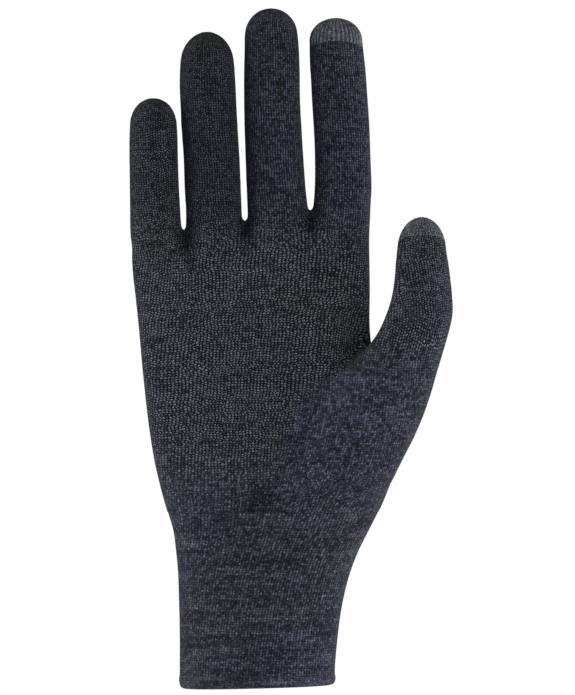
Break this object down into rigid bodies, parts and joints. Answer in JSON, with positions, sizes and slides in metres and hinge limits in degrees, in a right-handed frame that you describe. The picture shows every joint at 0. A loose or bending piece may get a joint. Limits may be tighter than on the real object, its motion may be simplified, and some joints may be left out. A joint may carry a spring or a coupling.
{
  "type": "knitted glove liner",
  "caption": "Thin knitted liner glove for the right hand with separate fingers, touch-screen tips on index finger and thumb, a ribbed cuff and a turned hem.",
  "frame": {"origin": "centre of the opening at the hem, where the hand goes in", "axes": "+Z from the hem towards the fingertips, -Y out of the palm, +X towards the thumb"},
  "size_m": [0.1175, 0.0467, 0.25],
  "materials": {
    "hand_knit": "fine plain knit, heathered charcoal wool",
    "cuff_knit": "ribbed elastic knit, heathered charcoal wool",
    "hem_knit": "turned welt of the same yarn",
    "touch_yarn": "plain knit of grey conductive yarn"
  },
  "bodies": {
    "root": {"lower_palm": "hand_knit", "upper_palm": "hand_knit", "little_finger": "hand_knit", "ring_finger": "hand_knit", "middle_finger": "hand_knit", "index_finger": "hand_knit", "thumb": "hand_knit", "wrist_cuff": "cuff_knit", "cuff_hem": "hem_knit", "index_touch_tip": "touch_yarn", "thumb_touch_tip": "touch_yarn"}
  },
  "joints": []
}
